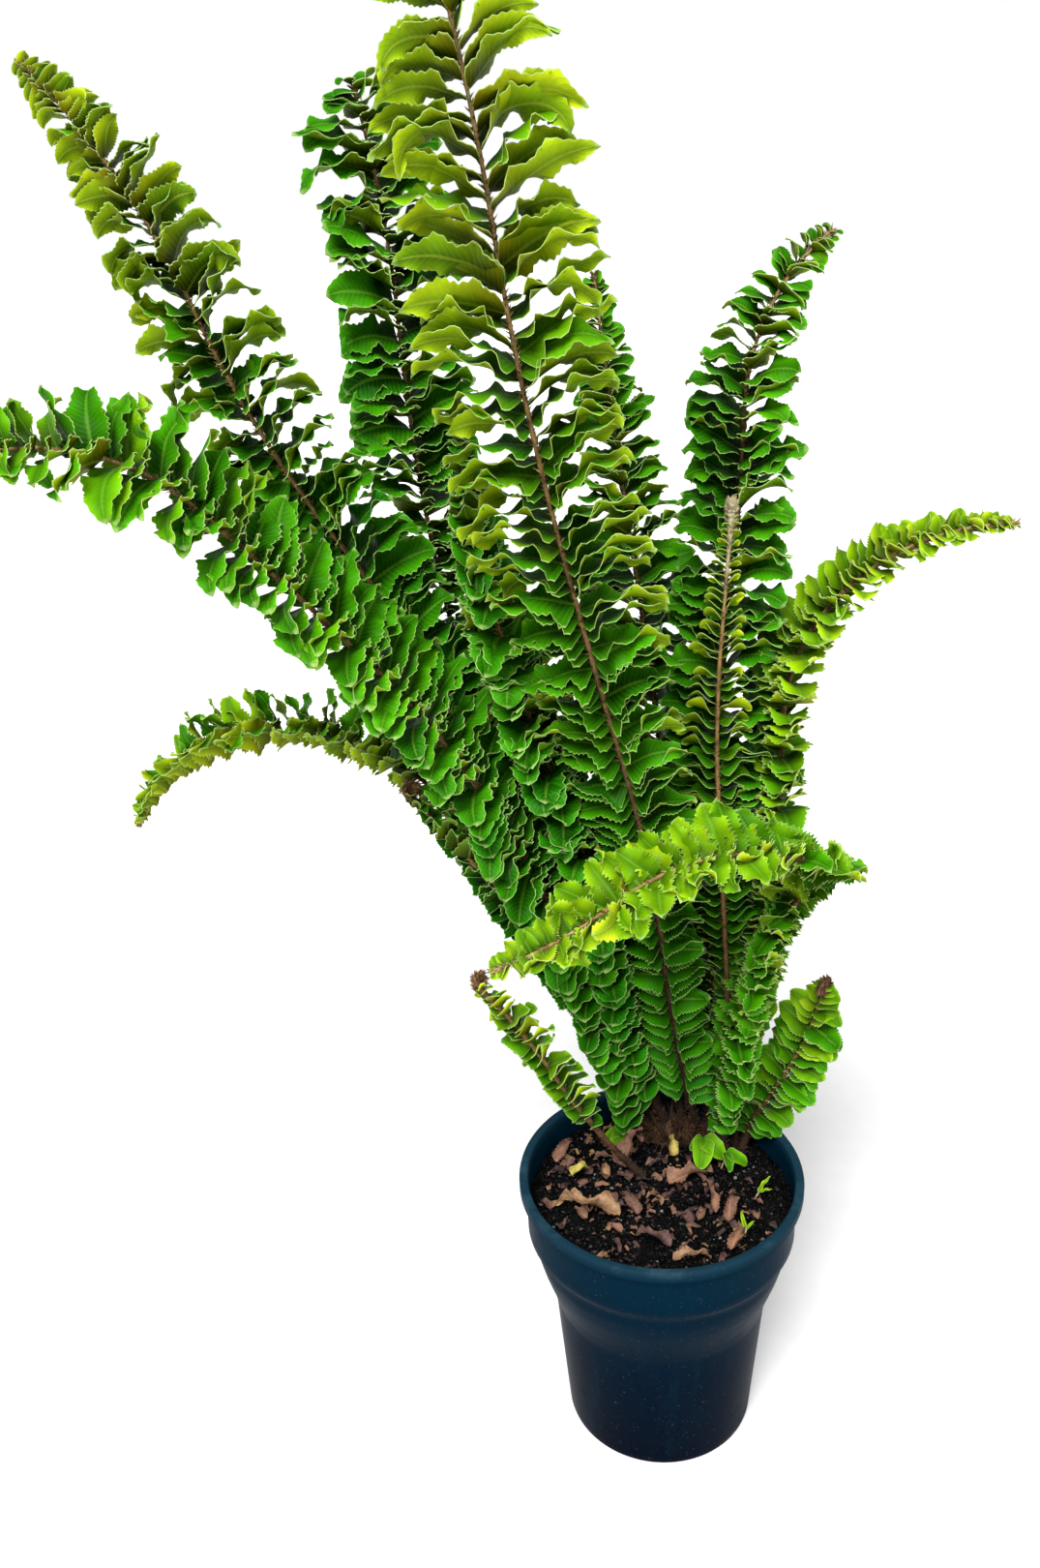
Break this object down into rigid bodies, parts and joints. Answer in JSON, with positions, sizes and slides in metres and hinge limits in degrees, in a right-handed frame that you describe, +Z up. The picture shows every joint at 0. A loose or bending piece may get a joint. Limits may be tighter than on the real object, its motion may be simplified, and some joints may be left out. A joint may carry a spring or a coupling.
{
  "type": "potted fern",
  "caption": "Sword fern with wavy fronds standing in a round tapered nursery pot, for shelves, tables and window sills.",
  "frame": {"origin": "middle of the pot's flat base, on the surface that it stands on", "axes": "+Z up out of the pot, the longest fronds lean to -X, +X is the side of the shorter arching fronds, -Y is the open soil in front of the crown"},
  "size_m": [0.4481, 0.1868, 0.7451],
  "materials": {
    "pot_plastic": "semi-gloss moulded plastic, dark navy teal, lightly scuffed and dusty",
    "potting_soil": "damp dark potting mix, coarse and matte",
    "crown_scales": "fibrous brown scales of a fern crown, matte",
    "midrib": "brown stalk and midrib with pale fuzzy scales",
    "leaflet_green": "glossy dark to mid green leaflets, pale margins, olive underside",
    "leaflet_lime": "young lime green leaflets, satin",
    "dried_leaf": "dry curled leaf litter, brown and tan, matte",
    "young_leaf": "bright green young leaflets, satin"
  },
  "bodies": {
    "root": {"crown": "crown_scales", "dried_leaf_crown": "dried_leaf", "dried_leaf_curl": "dried_leaf", "dried_leaf_front": "dried_leaf", "dried_leaf_gold": "dried_leaf", "dried_leaf_left": "dried_leaf", "dried_leaf_mauve": "dried_leaf", "dried_leaf_middle": "dried_leaf", "dried_leaf_pale": "dried_leaf", "dried_leaf_right": "dried_leaf", "dried_leaf_strip": "dried_leaf", "dried_leaf_tan": "dried_leaf", "dried_leaf_yellow": "dried_leaf", "frond_arching_left_leaflets": "leaflet_green", "frond_arching_left_stem": "midrib", "frond_arching_right_leaflets": "leaflet_lime", "frond_arching_right_stem": "midrib", "frond_back_leaflets": "leaflet_green", "frond_back_left_leaflets": "leaflet_green", "frond_back_left_stem": "midrib", "frond_back_stem": "midrib", "frond_fiddlehead_leaflets": "leaflet_green", "frond_fiddlehead_stem": "midrib", "frond_front_leaflets": "leaflet_lime", "frond_front_stem": "midrib", "frond_inner_left_leaflets": "leaflet_green", "frond_inner_left_stem": "midrib", "frond_low_left_leaflets": "leaflet_green", "frond_low_left_stem": "midrib", "frond_right_leaflets": "leaflet_green", "frond_right_stem": "midrib", "frond_short_left_leaflets": "leaflet_green", "frond_short_left_stem": "midrib", "frond_small_left_leaflets": "leaflet_green", "frond_small_left_stem": "midrib", "frond_small_right_leaflets": "leaflet_green", "frond_small_right_stem": "midrib", "frond_tall_front_leaflets": "leaflet_green", "frond_tall_front_stem": "midrib", "frond_upper_left_leaflets": "leaflet_green", "frond_upper_left_stem": "midrib", "pot": "pot_plastic", "potting_soil": "potting_soil", "seedling_front": "young_leaf", "seedling_right": "young_leaf", "young_leaf_behind": "young_leaf", "young_leaf_bright": "young_leaf", "young_leaf_left": "young_leaf"}
  },
  "joints": []
}
